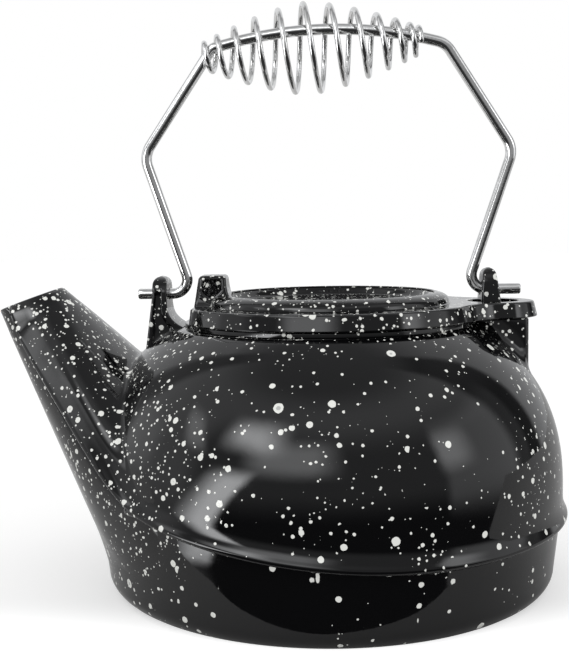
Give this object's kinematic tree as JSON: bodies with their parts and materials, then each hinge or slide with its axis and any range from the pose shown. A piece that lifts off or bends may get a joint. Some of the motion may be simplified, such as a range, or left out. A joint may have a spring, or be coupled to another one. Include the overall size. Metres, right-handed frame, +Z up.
{
  "type": "coffee pot",
  "caption": "Squat enamelled iron stove pot with a flared spout, a swivelling lid with a thumb lug, and a swinging wire bail with a barrel-shaped coil grip.",
  "frame": {"origin": "centre of the round foot, on the surface that the pot stands on", "axes": "+Z up, +X from the spout towards the lid's hinge at the back, +Y to the left of someone looking along +X"},
  "size_m": [0.2361, 0.2002, 0.2388],
  "materials": {
    "enamelled_iron": "glossy black vitreous enamel with small white specks",
    "bright_steel": "bright plated steel wire, lightly worn"
  },
  "bodies": {
    "pot": {"pot": "enamelled_iron", "spout": "enamelled_iron"},
    "lid": {"lid": "enamelled_iron"},
    "bail": {"bail": "bright_steel", "coil_grip": "bright_steel"}
  },
  "joints": [
    {"name": "bail_swing", "type": "hinge", "parent": "pot", "child": "bail", "pos_m": [0, 0, 0.12], "axis": [1, 0, 0], "range_deg": [-96, 96]},
    {"name": "lid_swivel", "type": "hinge", "parent": "pot", "child": "lid", "pos_m": [0.0698, 0, 0.1088], "axis": [0, 0, -1], "range_deg": [-180, 180]}
  ]
}
